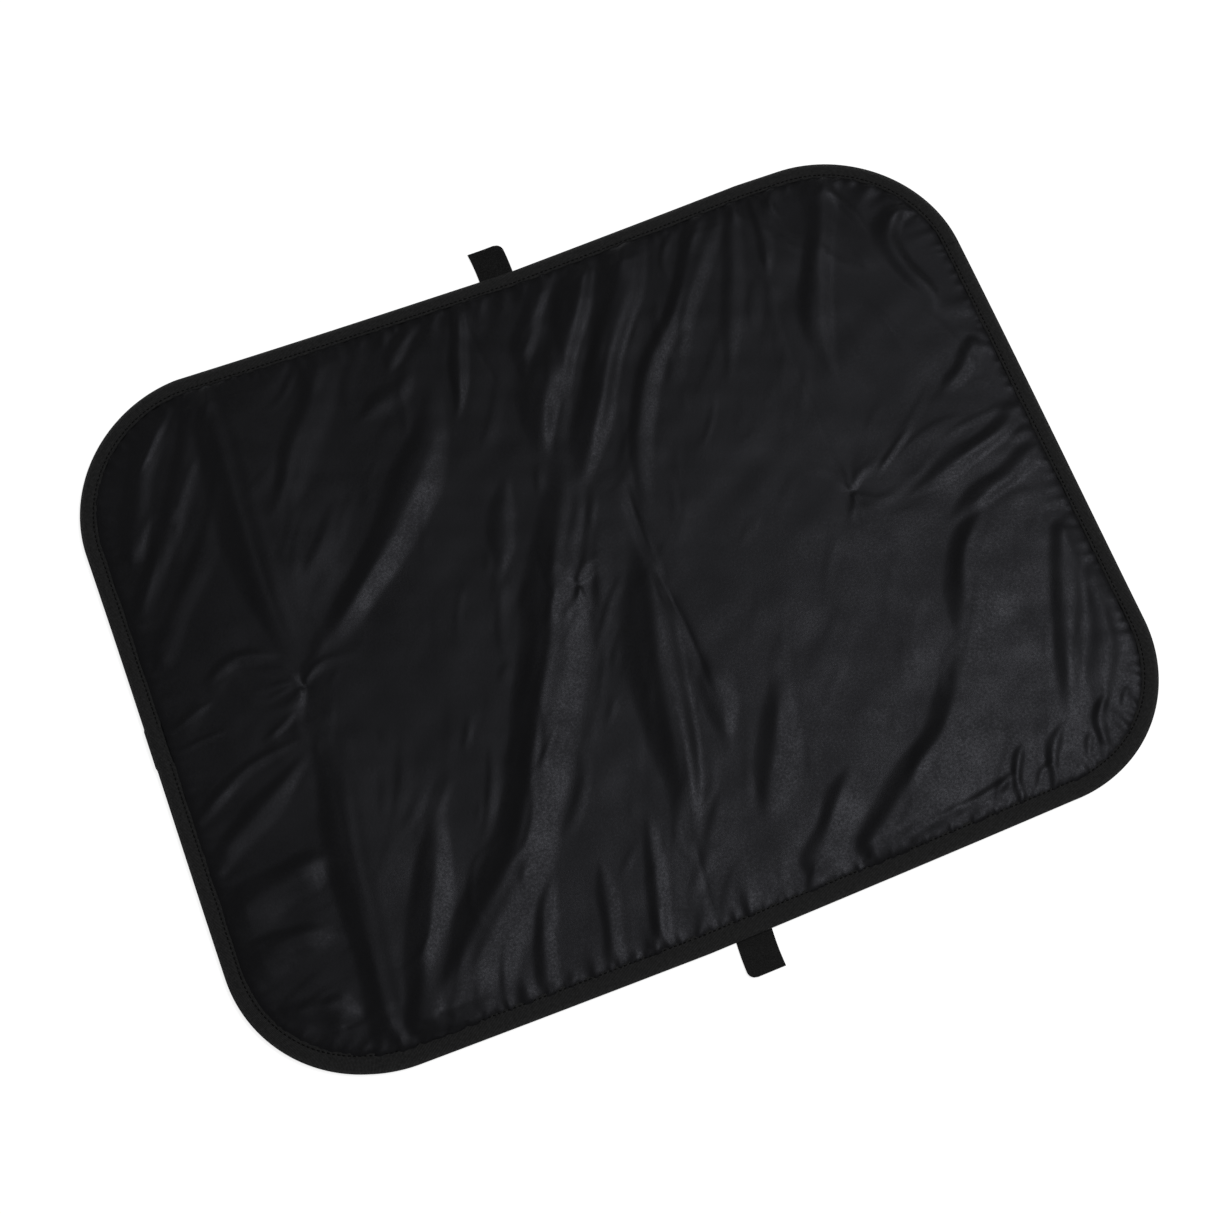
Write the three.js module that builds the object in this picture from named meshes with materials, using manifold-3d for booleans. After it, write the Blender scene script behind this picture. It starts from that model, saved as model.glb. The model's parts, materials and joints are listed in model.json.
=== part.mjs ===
// A padded folding changing mat: a rounded rectangle of wadding between a satin top cover and a wipe-clean
// lining, bound all round with folded tape, with a hook tab and a loop tab on its long edges. It lies open,
// top cover up. Millimetres, +X along the mat's length, +Y across it, +Z up, origin at the middle of its
// underside. The mat folds along four crosswise creases, so each layer is made whole and then cut there.
import * as THREE from 'three';
import { mergeVertices } from 'three/addons/utils/BufferGeometryUtils.js';
import Module from 'manifold-3d';

// Overall size
const MAT_LENGTH = 650;
const MAT_WIDTH = 500;
const CORNER_RADIUS = 97;
const PAD_HEIGHT = 14;            // from the surface it lies on to the top of the crowned cover

// Fold creases, from left to right: end flap, inner panel, spine, inner panel, and the rest is the last flap
const LEFT_END_WIDTH = 108;
const LEFT_INNER_WIDTH = 195;
const SPINE_WIDTH = 55;
const RIGHT_INNER_WIDTH = 147;
const FOLD_GAP = 0.6;             // between two neighbouring panels

// Cloth and tape
const COVER_THICKNESS = 0.8;
const LINING_THICKNESS = 0.8;
const BINDING_WIDTH = 12;         // what shows of the tape on each face
const BINDING_WALL = 1;
const FOLD_SPACE = 1;             // between the tape's fold and the edges of the cover and lining in it
const SQUASHED_WADDING = 0.8;     // between the cover and the lining where the binding holds them
const CLEARANCE = 0.3;            // between layers that lie on each other
const PAD_RISE = 44;              // how far in from the binding the pad reaches its full height
const LINING_DROP = 5;            // how far in from the binding the lining reaches the surface

// Stitching along the binding
const STITCH_MARGIN = 2.5;        // from the binding's inner edge to the thread
const THREAD_WIDTH = 0.7;
const THREAD_HEIGHT = 0.5;
const THREAD_LIFT = 0.02;

// Hook and loop tabs
const TAB_WIDTH = 25;
const TAB_LENGTH = 25;            // what sticks out past the binding
const TAB_THICKNESS = 1.2;
const TAB_ROOT = 11;              // what is sewn under the binding
const TAB_CORNER = 5;
const HOOK_TAB_SHIFT = -7.5;      // from the middle of the spine, along the front edge
const LOOP_TAB_SHIFT = 4;         // from the middle of the spine, along the back edge
const TAB_HINGE_GAP = 0.5;        // between the sewn root and the free part

const CORNER_STEPS = 8;
const TAB_CORNER_STEPS = 6;
const SMALLEST_RADIUS = 3;        // of an outline moved inwards past the corner's own radius

const wasm = await Module();
wasm.setup();

// Heights that follow from the sizes above
const bindingBottom = TAB_THICKNESS + CLEARANCE;
const jawBottom = bindingBottom + BINDING_WALL;
const heldStack = LINING_THICKNESS + SQUASHED_WADDING + COVER_THICKNESS;
const jawTop = jawBottom + heldStack + 2 * CLEARANCE;
const bindingTop = jawTop + BINDING_WALL;
const flangeInset = BINDING_WALL + FOLD_SPACE;
const stitchInset = BINDING_WIDTH - STITCH_MARGIN;
const mouthInset = BINDING_WIDTH + CLEARANCE;
const halfLength = MAT_LENGTH / 2;
const halfWidth = MAT_WIDTH / 2;

// Materials
const fabric = (color, roughness) => new THREE.MeshStandardMaterial({ color, roughness, metalness: 0 });
const coverFabric = fabric('#1f2023', 0.45);
const liningFabric = fabric('#18191b', 0.55);
const waddingFibre = fabric('#e9e9e6', 0.95);
const bindingTape = fabric('#1a1a1b', 0.85);
const sewingThread = fabric('#111112', 0.6);
const hookTape = fabric('#101011', 0.8);
const loopTape = fabric('#121213', 0.95);

// Points of the mat's outline moved inwards by `inset`, counter-clockwise, always the same number of them
function outline(inset) {
  const radius = Math.max(CORNER_RADIUS - inset, SMALLEST_RADIUS);
  const centreX = halfLength - inset - radius;
  const centreY = halfWidth - inset - radius;
  const points = [];
  for (let corner = 0; corner < 4; corner += 1) {
    const signX = corner === 0 || corner === 3 ? 1 : -1;
    const signY = corner < 2 ? 1 : -1;
    for (let step = 0; step <= CORNER_STEPS; step += 1) {
      const angle = (corner + step / CORNER_STEPS) * Math.PI / 2;
      points.push([
        signX * centreX + radius * Math.cos(angle),
        signY * centreY + radius * Math.sin(angle),
      ]);
    }
  }
  return points;
}

// A closed solid whose section is `profile`, a list of [inset, height]. An open profile runs from the middle of
// the underside out to the edge and back to the middle of the top; a looped one closes on itself.
function layer(profile, looped = false) {
  const positions = [];
  const faces = [];
  const count = outline(0).length;
  for (const [inset, height] of profile) {
    for (const [x, y] of outline(inset)) positions.push(x, y, height);
  }
  const ringPairs = looped ? profile.length : profile.length - 1;
  for (let ring = 0; ring < ringPairs; ring += 1) {
    const low = ring * count;
    const high = ((ring + 1) % profile.length) * count;
    for (let i = 0; i < count; i += 1) {
      const next = (i + 1) % count;
      faces.push(low + i, low + next, high + next, low + i, high + next, high + i);
    }
  }
  if (!looped) {
    const under = positions.length / 3;
    const over = under + 1;
    const lastRing = (profile.length - 1) * count;
    positions.push(0, 0, profile[0][1], 0, 0, profile.at(-1)[1]);
    for (let i = 0; i < count; i += 1) {
      const next = (i + 1) % count;
      faces.push(under, next, i);
      faces.push(over, lastRing + i, lastRing + next);
    }
  }
  const geometry = new THREE.BufferGeometry();
  geometry.setAttribute('position', new THREE.Float32BufferAttribute(positions, 3));
  geometry.setIndex(faces);
  return geometry;
}

function solidOf(geometry) {
  const bare = geometry.clone();
  bare.deleteAttribute('normal');
  bare.deleteAttribute('uv');
  const merged = mergeVertices(bare, 1e-4);
  return new wasm.Manifold(new wasm.Mesh({
    numProp: 3,
    vertProperties: new Float32Array(merged.attributes.position.array),
    triVerts: new Uint32Array(merged.index.array),
  }));
}

function geometryOf(solid) {
  const { vertProperties, triVerts } = solid.getMesh();
  const geometry = new THREE.BufferGeometry();
  geometry.setAttribute('position', new THREE.BufferAttribute(vertProperties, 3));
  geometry.setIndex(new THREE.BufferAttribute(triVerts, 1));
  return geometry;
}

// A box that holds everything between two X positions and two Y positions
function slab(xRange, yRange) {
  const height = 4 * PAD_HEIGHT;
  const box = new THREE.BoxGeometry(xRange[1] - xRange[0], yRange[1] - yRange[0], height);
  box.translate((xRange[0] + xRange[1]) / 2, (yRange[0] + yRange[1]) / 2, 0);
  return solidOf(box);
}

const mat = new THREE.Group();

function addMesh(parent, name, geometry, material) {
  const mesh = new THREE.Mesh(geometry, material);
  mesh.name = name;
  parent.add(mesh);
}

// The whole layers, before they are cut at the creases

// The pad's rise from the binding's mouth to its full height, as shares of the way in and of the height
const crown = [[0, 0], [0.1, 0.34], [0.3, 0.66], [0.6, 0.9], [1, 1]];

function crownProfile(lowest, highest) {
  return crown.map(([along, share]) => [
    mouthInset + along * PAD_RISE,
    lowest + share * (highest - lowest),
  ]);
}

function coverProfile() {
  const flangeTop = jawTop - CLEARANCE;
  const outer = [[flangeInset, flangeTop], ...crownProfile(flangeTop, PAD_HEIGHT)];
  const inner = outer.map(([inset, height]) => [inset, height - COVER_THICKNESS]).reverse();
  return [...inner, ...outer];
}

function liningProfile() {
  const flange = jawBottom + CLEARANCE;
  const outer = [[mouthInset + LINING_DROP, 0], [mouthInset, flange], [flangeInset, flange]];
  const inner = outer.map(([inset, height]) => [inset, height + LINING_THICKNESS]).reverse();
  return [...outer, ...inner];
}

function waddingProfile() {
  const floor = LINING_THICKNESS + CLEARANCE;
  const edgeFloor = jawBottom + CLEARANCE + floor;
  const edgeTop = jawTop - 2 * CLEARANCE - COVER_THICKNESS;
  const top = crownProfile(edgeTop, PAD_HEIGHT - COVER_THICKNESS - CLEARANCE);
  return [
    [mouthInset + LINING_DROP, floor],
    [mouthInset + CLEARANCE, edgeFloor],
    ...top.map(([inset, height]) => [inset + CLEARANCE, height]),
  ];
}

function bindingProfile() {
  return [
    [BINDING_WIDTH, bindingBottom],
    [BINDING_WALL, bindingBottom],
    [0, bindingBottom + BINDING_WALL],
    [0, bindingTop - BINDING_WALL],
    [BINDING_WALL, bindingTop],
    [BINDING_WIDTH, bindingTop],
    [BINDING_WIDTH, jawTop],
    [BINDING_WALL, jawTop],
    [BINDING_WALL, jawBottom],
    [BINDING_WIDTH, jawBottom],
  ];
}

function threadProfile() {
  const base = bindingTop + THREAD_LIFT;
  return [
    [stitchInset + THREAD_WIDTH / 2, base],
    [stitchInset - THREAD_WIDTH / 2, base],
    [stitchInset - THREAD_WIDTH / 2, base + THREAD_HEIGHT],
    [stitchInset + THREAD_WIDTH / 2, base + THREAD_HEIGHT],
  ];
}

const cover = solidOf(layer(coverProfile()));
const wadding = solidOf(layer(waddingProfile()));
const lining = solidOf(layer(liningProfile()));
const binding = solidOf(layer(bindingProfile(), true));
const thread = solidOf(layer(threadProfile(), true));

// The panels between the creases
const leftEndFold = -halfLength + LEFT_END_WIDTH;
const leftInnerFold = leftEndFold + LEFT_INNER_WIDTH;
const rightInnerFold = leftInnerFold + SPINE_WIDTH;
const rightEndFold = rightInnerFold + RIGHT_INNER_WIDTH;
const panels = [
  { name: 'left_end', from: -halfLength, to: leftEndFold },
  { name: 'left_inner', from: leftEndFold, to: leftInnerFold },
  { name: 'spine', from: leftInnerFold, to: rightInnerFold },
  { name: 'right_inner', from: rightInnerFold, to: rightEndFold },
  { name: 'right_end', from: rightEndFold, to: halfLength },
];

function panelRange({ from, to }) {
  const low = from === -halfLength ? from - 1 : from + FOLD_GAP / 2;
  const high = to === halfLength ? to + 1 : to - FOLD_GAP / 2;
  return [low, high];
}

const acrossMat = [-MAT_WIDTH, MAT_WIDTH];

function buildPanel(panel) {
  const group = new THREE.Group();
  const whole = slab(panelRange(panel), acrossMat);
  addMesh(group, `top_cover_${panel.name}`, geometryOf(cover.intersect(whole)), coverFabric);
  addMesh(group, `wadding_${panel.name}`, geometryOf(wadding.intersect(whole)), waddingFibre);
  addMesh(group, `lining_${panel.name}`, geometryOf(lining.intersect(whole)), liningFabric);
  const wrapsEnd = panel.from === -halfLength || panel.to === halfLength;
  const edges = wrapsEnd
    ? [['', acrossMat]]
    : [['_front', [-MAT_WIDTH, 0]], ['_back', [0, MAT_WIDTH]]];
  for (const [edge, yRange] of edges) {
    const part = slab(panelRange(panel), yRange);
    const suffix = `${panel.name}${edge}`;
    addMesh(group, `binding_${suffix}`, geometryOf(binding.intersect(part)), bindingTape);
    addMesh(group, `stitching_${suffix}`, geometryOf(thread.intersect(part)), sewingThread);
  }
  mat.add(group);
}

panels.forEach(buildPanel);

// A tab's outline seen from above, pointing along +Y from its root, its outer corner on the right rounded
function tabShape() {
  const half = TAB_WIDTH / 2;
  const inner = TAB_HINGE_GAP;
  const shape = new THREE.Shape();
  shape.moveTo(-half, inner);
  shape.lineTo(half, inner);
  shape.lineTo(half, TAB_LENGTH - TAB_CORNER);
  shape.absarc(half - TAB_CORNER, TAB_LENGTH - TAB_CORNER, TAB_CORNER, 0, Math.PI / 2, false);
  shape.lineTo(-half, TAB_LENGTH);
  shape.closePath();
  return shape;
}

// One tab: the free part, and the root sewn under the binding
function buildTab(name, x, turn, material) {
  const group = new THREE.Group();
  const free = new THREE.ExtrudeGeometry(tabShape(), {
    depth: TAB_THICKNESS,
    bevelEnabled: false,
    curveSegments: TAB_CORNER_STEPS,
  });
  const root = new THREE.BoxGeometry(TAB_WIDTH, TAB_ROOT, TAB_THICKNESS);
  root.translate(0, -TAB_ROOT / 2, TAB_THICKNESS / 2);
  addMesh(group, name, free, material);
  addMesh(group, `${name}_root`, root, material);
  group.rotation.z = turn;
  group.position.set(x, turn === 0 ? halfWidth : -halfWidth, 0);
  mat.add(group);
}

const spineMiddle = (leftInnerFold + rightInnerFold) / 2;
buildTab('loop_tab', spineMiddle + LOOP_TAB_SHIFT, 0, loopTape);
buildTab('hook_tab', spineMiddle + HOOK_TAB_SHIFT, Math.PI, hookTape);

export default mat;
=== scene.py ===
"""A black padded changing mat, lying open: satin top cover with its folds, coated lining, wadding, bound edge
with its rows of stitches, and the loop and hook tabs. Everything is in metres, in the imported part's frame."""
import json
import math
from collections import namedtuple

import bpy
import numpy as np
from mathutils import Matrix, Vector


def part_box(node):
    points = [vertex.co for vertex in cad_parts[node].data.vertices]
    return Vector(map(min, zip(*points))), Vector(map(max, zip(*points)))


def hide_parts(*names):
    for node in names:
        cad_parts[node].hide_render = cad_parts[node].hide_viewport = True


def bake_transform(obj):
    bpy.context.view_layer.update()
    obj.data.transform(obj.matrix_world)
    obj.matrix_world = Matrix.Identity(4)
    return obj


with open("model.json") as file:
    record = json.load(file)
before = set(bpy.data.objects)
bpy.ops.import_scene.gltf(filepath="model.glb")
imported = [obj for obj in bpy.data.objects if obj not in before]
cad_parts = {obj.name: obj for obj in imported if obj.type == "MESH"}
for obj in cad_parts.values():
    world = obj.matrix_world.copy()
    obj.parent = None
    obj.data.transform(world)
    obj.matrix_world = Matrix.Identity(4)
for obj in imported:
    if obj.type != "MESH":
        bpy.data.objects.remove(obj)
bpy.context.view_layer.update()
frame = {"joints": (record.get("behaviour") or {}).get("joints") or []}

MM = 0.001
FULL_TURN = 2 * math.pi

# ---------------------------------------------------------------- sizes that come from the frame
LEFT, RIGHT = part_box("binding_left_end")[0].x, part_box("binding_right_end")[1].x
FRONT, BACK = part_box("binding_left_end")[0].y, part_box("binding_left_end")[1].y
TAPE_LOW, TAPE_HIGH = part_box("binding_spine_back")[0].z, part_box("binding_spine_back")[1].z
TAPE_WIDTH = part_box("binding_spine_back")[1].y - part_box("binding_spine_back")[0].y
PAD_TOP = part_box("top_cover_spine")[1].z
FOLD_X = {joint["name"]: joint["pos_m"][0] for joint in frame["joints"] if joint["name"].endswith("_fold")}
HALF_X, HALF_Y = (RIGHT - LEFT) / 2, (BACK - FRONT) / 2
TAPE_MIDDLE, TAPE_HALF = (TAPE_HIGH + TAPE_LOW) / 2, (TAPE_HIGH - TAPE_LOW) / 2

# ---------------------------------------------------------------- sizes of the cloth
CORNER_RADIUS = 97 * MM
COVER_PITCH = 1.6 * MM        # the size of each cloth's mesh cells
LINING_PITCH = 2.5 * MM
WADDING_PITCH = 4 * MM
HIDDEN_EDGE = 4 * MM          # how far in from the mat's edge cover and lining start, inside the tape
SEAM_Z = TAPE_HIGH - 1.3 * MM  # where the cover comes out from under the tape
TUCKED = 2.5 * MM             # how wide a strip of the cover goes down under the tape, and how far
TUCK_DEPTH = 0.6 * MM
FOLD_ROOM = 5.8 * MM          # the calm cover stays this far under the mat's top, for the folds to stand in
COVER_CEILING = PAD_TOP + 0.2 * MM
COVER_KNEE = 1.5 * MM         # the highest folds are rounded off over this height, below the ceiling
COVER_RISE = 60 * MM          # how far in from the tape the padding reaches its full height
WADDING_RISE = 50 * MM
TAPE_THICKNESS = 0.55 * MM
FRONT_WIDER = 2.5 * MM        # the tape shows this much more of itself along the front edge
LAP_STEP = 0.5 * MM           # how far the tape stands out where its ends overlap, on the left edge
LAP_FRONT, LAP_BACK = -5 * MM, 22 * MM
STITCH_MARGIN = 2.4 * MM      # from the tape's inner edge to the thread
STITCH_PITCH = 3.4 * MM
STITCH_LENGTH = 2.3 * MM
STITCH_RADIUS = 0.45 * MM
STITCH_SUNK = 0.55 * MM       # how deep the thread lies in the tape


# ---------------------------------------------------------------- outline of the mat
# How far the sewn edges bow outwards from straight, in millimetres, at shares of the half length
BACK_BOW = ([-1, -0.7, 0.05, 0.6, 1], [1, 5, -3, 2, -1])
FRONT_BOW = ([-1, -0.8, -0.1, 0.7, 1], [2, 2.5, -1.5, 3, 2])


def bowed(x, y):
    """The sewn edge isn't quite straight: the back edge dips in the middle, the front one only a little."""
    u, v = x / HALF_X, y / HALF_Y
    softened = 1 - 0.15 * np.cos(3 * u)
    back = np.clip(v, 0, 1) ** 2 * np.interp(u, *BACK_BOW) * softened
    front = np.clip(-v, 0, 1) ** 2 * np.interp(u, *FRONT_BOW) * softened
    side = 1.2 * np.sin(2.2 * v + 0.4) * np.abs(u) ** 3
    return x + side * MM, y + (back + front) * MM


def inset_of(x, y):
    """Distance in from the mat's edge."""
    qx = np.abs(x) - (HALF_X - CORNER_RADIUS)
    qy = np.abs(y) - (HALF_Y - CORNER_RADIUS)
    outside = np.hypot(np.maximum(qx, 0), np.maximum(qy, 0))
    return CORNER_RADIUS - outside - np.minimum(np.maximum(qx, qy), 0)


def outline(inset, step):
    """Points and outward normals along the mat's edge moved in by inset, counter-clockwise from the right,
    with the length run so far. Points are about step apart and there is one at each end of every arc."""
    radius = CORNER_RADIUS - inset
    flat_x, flat_y = HALF_X - CORNER_RADIUS, HALF_Y - CORNER_RADIUS
    corners = [(flat_x, flat_y), (-flat_x, flat_y), (-flat_x, -flat_y), (flat_x, -flat_y)]
    arc_steps = max(int(CORNER_RADIUS * math.pi / 2 / step), 8)
    points, normals = [], []
    for k, (cx, cy) in enumerate(corners):
        for a in np.linspace(k, k + 1, arc_steps, endpoint=False) * math.pi / 2:
            points.append((cx + radius * math.cos(a), cy + radius * math.sin(a)))
            normals.append((math.cos(a), math.sin(a)))
        nx, ny = math.cos((k + 1) * math.pi / 2), math.sin((k + 1) * math.pi / 2)
        ex, ey = corners[(k + 1) % 4]
        run_steps = max(int(math.hypot(ex - cx, ey - cy) / step), 2)
        for t in np.linspace(0, 1, run_steps, endpoint=False):
            points.append((cx + (ex - cx) * t + radius * nx, cy + (ey - cy) * t + radius * ny))
            normals.append((nx, ny))
    points, normals = np.array(points), np.array(normals)
    gaps = np.linalg.norm(np.roll(points, -1, axis=0) - points, axis=1)
    return points, normals, np.concatenate([[0], np.cumsum(gaps)])


def front_widening(normals):
    """How much farther in the tape reaches, for each of the outline's normals."""
    return FRONT_WIDER * np.clip(-normals[:, 1], 0, 1) ** 4


# ---------------------------------------------------------------- folds of the top cover
# Each fold is a ridge: its crest's points from the front backwards, its height, and how far it slopes down on
# its left and on its right, all in millimetres. The steep side is mostly the left one.
FOLDS = [
    # the long diagonal from the front left corner over the spine to the back edge
    ([(-206, -228), (-178, -202), (-148, -170), (-120, -138), (-95, -100), (-76, -60), (-56, -22), (-42, 8),
      (-28, 36), (-14, 66), (0, 96), (10, 124)], 4.1, 22, 30),
    ([(0, 70), (16, 92), (34, 120), (54, 150), (72, 180), (90, 208), (106, 236)], 3.6, 19, 14),
    ([(14, 130), (26, 160), (44, 190), (66, 228)], 2.8, 17, 10),
    ([(-10, 100), (4, 140), (18, 168), (30, 198)], 3.0, 22, 12),
    ([(-2, 160), (8, 186), (22, 208), (40, 234)], 1.6, 12, 8),
    ([(38, 34), (46, 62), (56, 92), (72, 124), (90, 148), (112, 170), (134, 198), (158, 234)], 1.9, 9, 13),
    # from the left crumple to the back edge
    ([(-212, 26), (-186, 40), (-160, 60), (-136, 80), (-110, 107), (-86, 138), (-70, 168), (-58, 192)],
     3.5, 17, 20),
    ([(-122, 176), (-104, 184), (-84, 190), (-70, 200)], 1.0, 9, 13),
    # beside the long diagonal, on its left
    ([(-216, -226), (-188, -160), (-172, -122), (-158, -92)], 2.4, 15, 15),
    ([(-66, 34), (-54, 66), (-36, 106)], 1.0, 12, 8),
    # and on its right, towards the front edge
    ([(-138, -230), (-126, -190), (-108, -164)], 1.3, 7, 9),
    ([(-92, -232), (-82, -196), (-74, -168)], 1.1, 7, 9),
    ([(-58, -232), (-44, -186), (-34, -150)], 1.2, 8, 8),
    # the dark hollow down the spine, and the slope that comes out of it
    ([(-16, -192), (-4, -140), (6, -100), (16, -50), (28, 0), (31, 46)], 4.3, 26, 13),
    ([(28, -130), (38, -100), (41, -62)], 1.5, 14, 12),
    ([(30, -190), (54, -150), (70, -120), (84, -92)], 2.2, 15, 18),
    ([(52, -222), (72, -204), (92, -184), (104, -172)], 1.8, 12, 18),
    # down from the back edge, left half
    ([(-204, 124), (-182, 148), (-166, 176), (-146, 200), (-126, 232)], 1.4, 11, 20),
    ([(-194, 80), (-172, 104), (-152, 130)], 0.6, 7, 16),
    ([(-90, 200), (-76, 218), (-60, 236)], 1.2, 8, 8),
    ([(-60, 150), (-50, 166), (-38, 194), (-27, 230)], 1.7, 7, 7),
    # down from the back edge, right half
    ([(96, 118), (112, 150), (134, 184), (172, 232)], 0.9, 8, 9),
    ([(128, 104), (150, 150), (168, 190), (182, 232)], 0.9, 9, 9),
    ([(186, 170), (196, 200), (200, 234)], 0.9, 6, 6),
    ([(200, 78), (206, 128), (220, 164), (240, 200), (252, 232)], 2.2, 15, 12),
    ([(268, 172), (264, 196), (252, 226)], 0.9, 6, 6),
    ([(284, 104), (290, 122), (282, 146), (281, 172), (296, 190)], 2.2, 13, 9),
    ([(264, 46), (284, 58), (302, 76)], 1.4, 8, 9),
    # across the right flap from the right crumple
    ([(206, -14), (244, -6), (281, 3), (312, 20)], 1.6, 10, 9),
    ([(226, -42), (258, -32), (282, -26), (314, -12)], 1.9, 11, 9),
    ([(196, 8), (216, 22), (236, 34)], 0.7, 4, 4),
    # the broad one in the front right corner, with the steep pair beside the right edge
    ([(200, -128), (208, -112), (222, -90), (234, -62), (254, -42), (272, -34)], 3.2, 16, 36),
    ([(94, -228), (116, -214), (142, -192), (164, -176), (184, -152), (204, -122)], 3.2, 16, 40),
    ([(246, -206), (270, -148), (286, -112), (300, -76)], 2.3, 13, 14),
    ([(262, -212), (284, -176), (298, -146), (308, -112)], 1.8, 12, 10),
    ([(118, -232), (150, -226), (186, -222)], 0.9, 4, 6),
    ([(178, -236), (182, -226), (192, -220)], 1.0, 4, 6),
    ([(196, -238), (197, -222), (204, -208), (214, -202)], 1.4, 5, 5),
    ([(208, -238), (214, -226), (222, -222)], 0.9, 4, 4),
    ([(222, -238), (226, -216), (238, -202), (246, -200)], 1.6, 6, 6),
    ([(248, -228), (254, -216), (258, -212)], 0.9, 4, 4),
    ([(262, -222), (266, -206), (280, -190)], 1.5, 5, 7),
    ([(282, -208), (288, -198), (292, -194)], 0.8, 3, 4),
    # the step along the left crease
    ([(-217, 22), (-217, 60), (-216, 120), (-213, 180), (-213, 240)], 3.4, 21, 75),
    ([(-236, -226), (-230, -160), (-226, -110), (-221, -60), (-219, -8)], 2.7, 17, 75),
    # left flap
    ([(-306, 96), (-276, 134), (-248, 176), (-226, 222)], 1.1, 9, 12),
    ([(-300, 66), (-272, 98), (-246, 130), (-228, 160)], 0.8, 8, 12),
    ([(-296, 140), (-280, 176), (-256, 222)], 1.3, 11, 13),
    ([(-276, 190), (-262, 206), (-240, 232)], 0.9, 5, 5),
    ([(-282, 34), (-252, 46), (-222, 38)], 1.2, 7, 7),
    ([(-312, 14), (-290, 20), (-272, 24)], 0.8, 4, 4),
    ([(-313, 0), (-290, 1), (-268, 0)], 0.7, 2.5, 3),
    ([(-256, -16), (-238, -10), (-224, -2)], 0.9, 4, 4),
    ([(-308, -48), (-268, -28), (-228, -24)], 1.2, 6, 6),
    ([(-311, -84), (-268, -56), (-228, -34)], 1.7, 9, 12),
    ([(-308, -118), (-280, -108), (-250, -104), (-232, -112)], 2.5, 14, 21),
    ([(-308, -154), (-280, -146), (-248, -150)], 2.2, 11, 18),
    ([(-296, -192), (-270, -196), (-250, -212)], 1.9, 16, 9),
]

# The marks left by folding the mat across: the crease's points, its depth and its width, in millimetres
CREASES = [
    ([(-213, 238), (-213, 180), (-216, 120), (-217, 60), (-217, 30)], 0.2, 2.0),
    ([(-219, -10), (-221, -60), (-226, -110), (-230, -160), (-236, -214)], 0.2, 2.0),
    ([(-25, 238), (-23, 200), (-20, 164)], 0.35, 1.6),
    ([(-14, -178), (-18, -205), (-23, -238)], 0.4, 1.6),
    ([(-39, 46), (-42, 16), (-38, -16)], 0.35, 1.6),
    ([(36, 72), (32, 30), (31, 0), (35, -40), (34, -100)], 1.1, 2.2),
    ([(30, 60), (28, 10), (29, -30)], 0.7, 1.6),
    ([(185, 160), (180, 120), (177, 60), (176, 24)], 0.15, 2),
    ([(182, -30), (183, -100), (184, -160)], 0.12, 2.5),
]

# Where the creases cross the lengthwise fold the cloth is crumpled: the place, how far the rays reach, how
# deep the middle is, and each ray's direction in degrees with its height
CRUMPLES = [
    ((-217, 12), 34, 1.2, [(168, 0.9), (184, 0.8), (200, 1.1), (215, 0.8), (233, 0.9), (152, 0.7), (28, 1.0),
                           (14, 0.5), (128, 0.6), (256, 0.6), (60, 0.4)]),
    ((-21, 10), 22, 0.7, [(46, 0.8), (66, 0.6), (28, 0.5), (92, 0.5), (262, 0.7), (284, 0.6), (8, 0.4),
                          (118, 0.4), (240, 0.5)]),
    ((178, 4), 24, 0.7, [(42, 0.6), (28, 0.4), (98, 0.6), (118, 0.4), (260, 0.6), (280, 0.6), (66, 0.3),
                         (318, 0.3)]),
]


def along_line(x, y, line):
    """For every x, y: signed distance to a line, positive on its left, and how far along it, 0 to 1."""
    steps = np.linalg.norm(np.diff(line, axis=0), axis=1)
    run = np.concatenate([[0], np.cumsum(steps)])
    best = np.full(x.shape, np.inf)
    side = np.zeros(x.shape)
    share = np.zeros(x.shape)
    for a, b, length, start in zip(line[:-1], line[1:], steps, run[:-1]):
        dx, dy = (b - a) / length
        px, py = x - a[0], y - a[1]
        t = np.clip(px * dx + py * dy, 0, length)
        distance = np.hypot(px - t * dx, py - t * dy)
        near = distance < best
        best = np.where(near, distance, best)
        side = np.where(near, np.sign(dx * py - dy * px), side)
        share = np.where(near, (start + t) / run[-1], share)
    return best * side, share


def near_line(x, y, points, reach):
    """The points within reach of a line's box, as indices, with along_line's answer for them."""
    line = curve_through(points) * MM
    low, high = line.min(axis=0) - reach, line.max(axis=0) + reach
    index = np.nonzero((x > low[0]) & (x < high[0]) & (y > low[1]) & (y < high[1]))
    distance, share = along_line(x[index], y[index], line)
    return index, distance, share


def curve_through(points, per_span=4):
    """A smooth line through points, as a Catmull-Rom curve, from the front backwards."""
    backwards = points[0][1] > points[-1][1]
    p = np.array(sorted(points, key=lambda point: point[1]) if backwards else points, float)
    ends = np.vstack([2 * p[0] - p[1], p, 2 * p[-1] - p[-2]])
    out = []
    for k in range(1, len(ends) - 2):
        p0, p1, p2, p3 = ends[k - 1:k + 3]
        for t in np.linspace(0, 1, per_span, endpoint=False):
            out.append(0.5 * (2 * p1 + (p2 - p0) * t + (2 * p0 - 5 * p1 + 4 * p2 - p3) * t ** 2
                              + (3 * p1 - p0 - 3 * p2 + p3) * t ** 3))
    out.append(p[-1])
    return np.array(out)


def wave_noise(x, y, scale, seed, octaves=3):
    """Smooth seeded noise, about -1 to 1, from seven plane waves an octave. scale is its features' size."""
    draw = np.random.default_rng(seed)
    total = np.zeros(x.shape)
    for octave in range(octaves):
        finer, weaker = 1.8 ** octave, 0.55 ** octave
        for _ in range(7):
            angle, phase = draw.uniform(0, FULL_TURN, 2)
            k = FULL_TURN / (scale * draw.uniform(0.7, 1.4)) * finer
            total += np.sin(k * (x * math.cos(angle) + y * math.sin(angle)) + phase) * weaker
    return total / 6


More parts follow.
